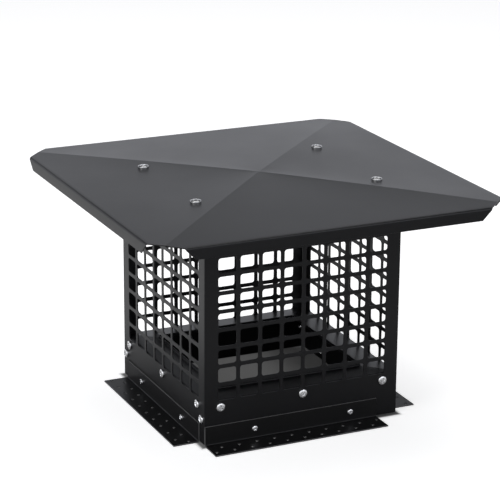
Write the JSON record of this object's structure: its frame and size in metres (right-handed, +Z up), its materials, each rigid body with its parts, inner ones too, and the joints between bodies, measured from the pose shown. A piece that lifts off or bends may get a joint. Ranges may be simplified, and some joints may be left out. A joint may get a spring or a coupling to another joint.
{
  "type": "chimney cap",
  "caption": "Square black chimney cap: punched mesh cage on a folded base frame with angle brackets, under a low cross-broken lid with folded skirts.",
  "frame": {"origin": "middle of the footprint, on the surface that the bracket flanges rest on", "axes": "+Z up through the flue opening, -Y the front panel, +X the right-hand panel"},
  "size_m": [0.406, 0.406, 0.2597],
  "materials": {
    "lid_sheet": "satin black powder coat, very fine texture, soft reflections",
    "mesh_sheet": "satin black powder coat on punched sheet, coated through the holes",
    "frame_sheet": "satin black powder coat on folded sheet",
    "bracket_sheet": "satin black powder coat on folded angle with small punched holes",
    "screw_steel": "bright zinc-plated pan heads with a cross recess"
  },
  "bodies": {
    "root": {"lid": "lid_sheet", "lid_screws": "screw_steel", "front_panel": "mesh_sheet", "rear_panel": "mesh_sheet", "left_panel": "mesh_sheet", "right_panel": "mesh_sheet", "left_lid_angle": "frame_sheet", "right_lid_angle": "frame_sheet", "front_base_rail": "frame_sheet", "rear_base_rail": "frame_sheet", "left_base_rail": "frame_sheet", "right_base_rail": "frame_sheet", "front_bracket": "bracket_sheet", "rear_bracket": "bracket_sheet", "left_bracket": "bracket_sheet", "right_bracket": "bracket_sheet", "front_panel_screws": "screw_steel", "rear_panel_screws": "screw_steel", "left_panel_screws": "screw_steel", "right_panel_screws": "screw_steel", "left_corner_screws": "screw_steel", "right_corner_screws": "screw_steel", "front_bracket_screws": "screw_steel", "rear_bracket_screws": "screw_steel", "left_bracket_screws": "screw_steel", "right_bracket_screws": "screw_steel"}
  },
  "joints": []
}
